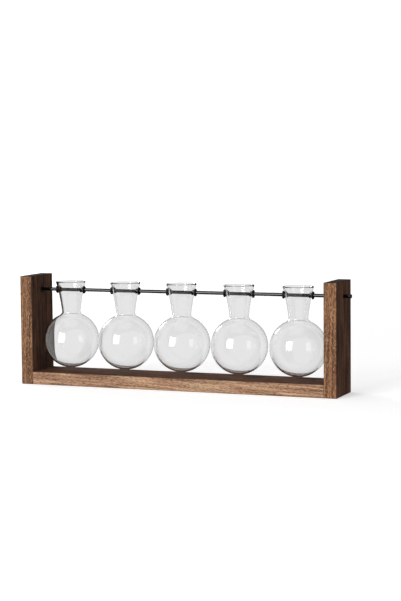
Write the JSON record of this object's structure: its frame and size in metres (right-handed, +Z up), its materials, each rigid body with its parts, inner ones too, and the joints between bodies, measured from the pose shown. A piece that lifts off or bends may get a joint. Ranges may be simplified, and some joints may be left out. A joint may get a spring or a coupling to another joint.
{
  "type": "propagation vase",
  "caption": "Wall-hung propagation vase: a row of round glass bulb vases with trumpet necks, hanging on one thin steel rod in a low dark wooden frame.",
  "frame": {"origin": "under the middle of the base board, on the plane that the frame stands on", "axes": "+X along the frame to the right as seen from the front, +Y from the front edge to the back edge that faces the wall, +Z up"},
  "size_m": [0.4608, 0.0738, 0.1445],
  "materials": {
    "stained_wood": "solid hardwood, brushed grain, dark brown stain, matt",
    "beech": "turned, bare",
    "clear_glass": "blown borosilicate, clear, fire-polished rim",
    "black_steel": "gloss black enamel",
    "black_rubber": "moulded, satin",
    "zinc_steel": "zinc plated"
  },
  "bodies": {
    "frame": {"base_board": "stained_wood", "end_board_right": "stained_wood", "rod_bush_right": "black_rubber", "hanger_plate_right": "zinc_steel", "hanger_screws_right": "zinc_steel", "joint_dowel_front_right": "beech", "joint_dowel_back_right": "beech", "end_board_left": "stained_wood", "rod_bush_left": "black_rubber", "hanger_plate_left": "zinc_steel", "hanger_screws_left": "zinc_steel", "joint_dowel_front_left": "beech", "joint_dowel_back_left": "beech"},
    "rod": {"hanging_rod": "black_steel", "rod_end_cap_right": "black_rubber", "rod_end_cap_left": "black_rubber"},
    "vase_1": {"glass_vase_1": "clear_glass", "neck_grommet_1_right": "black_rubber", "neck_grommet_1_left": "black_rubber"},
    "vase_2": {"glass_vase_2": "clear_glass", "neck_grommet_2_right": "black_rubber", "neck_grommet_2_left": "black_rubber"},
    "vase_3": {"glass_vase_3": "clear_glass", "neck_grommet_3_right": "black_rubber", "neck_grommet_3_left": "black_rubber"},
    "vase_4": {"glass_vase_4": "clear_glass", "neck_grommet_4_right": "black_rubber", "neck_grommet_4_left": "black_rubber"},
    "vase_5": {"glass_vase_5": "clear_glass", "neck_grommet_5_right": "black_rubber", "neck_grommet_5_left": "black_rubber"}
  },
  "joints": [
    {"name": "rod_slide", "type": "slide", "parent": "frame", "child": "rod", "axis": [1, 0, 0], "range_m": [-0.0058, 0.0058]},
    {"name": "vase_1_swing", "type": "hinge", "parent": "rod", "child": "vase_1", "pos_m": [-0.16, 0, 0.12545], "axis": [-1, 0, 0], "range_deg": [-120, 120]},
    {"name": "vase_2_swing", "type": "hinge", "parent": "rod", "child": "vase_2", "pos_m": [-0.08, 0, 0.12545], "axis": [-1, 0, 0], "range_deg": [-120, 120]},
    {"name": "vase_3_swing", "type": "hinge", "parent": "rod", "child": "vase_3", "pos_m": [0, 0, 0.12545], "axis": [-1, 0, 0], "range_deg": [-120, 120]},
    {"name": "vase_4_swing", "type": "hinge", "parent": "rod", "child": "vase_4", "pos_m": [0.08, 0, 0.12545], "axis": [-1, 0, 0], "range_deg": [-120, 120]},
    {"name": "vase_5_swing", "type": "hinge", "parent": "rod", "child": "vase_5", "pos_m": [0.16, 0, 0.12545], "axis": [-1, 0, 0], "range_deg": [-120, 120]}
  ]
}
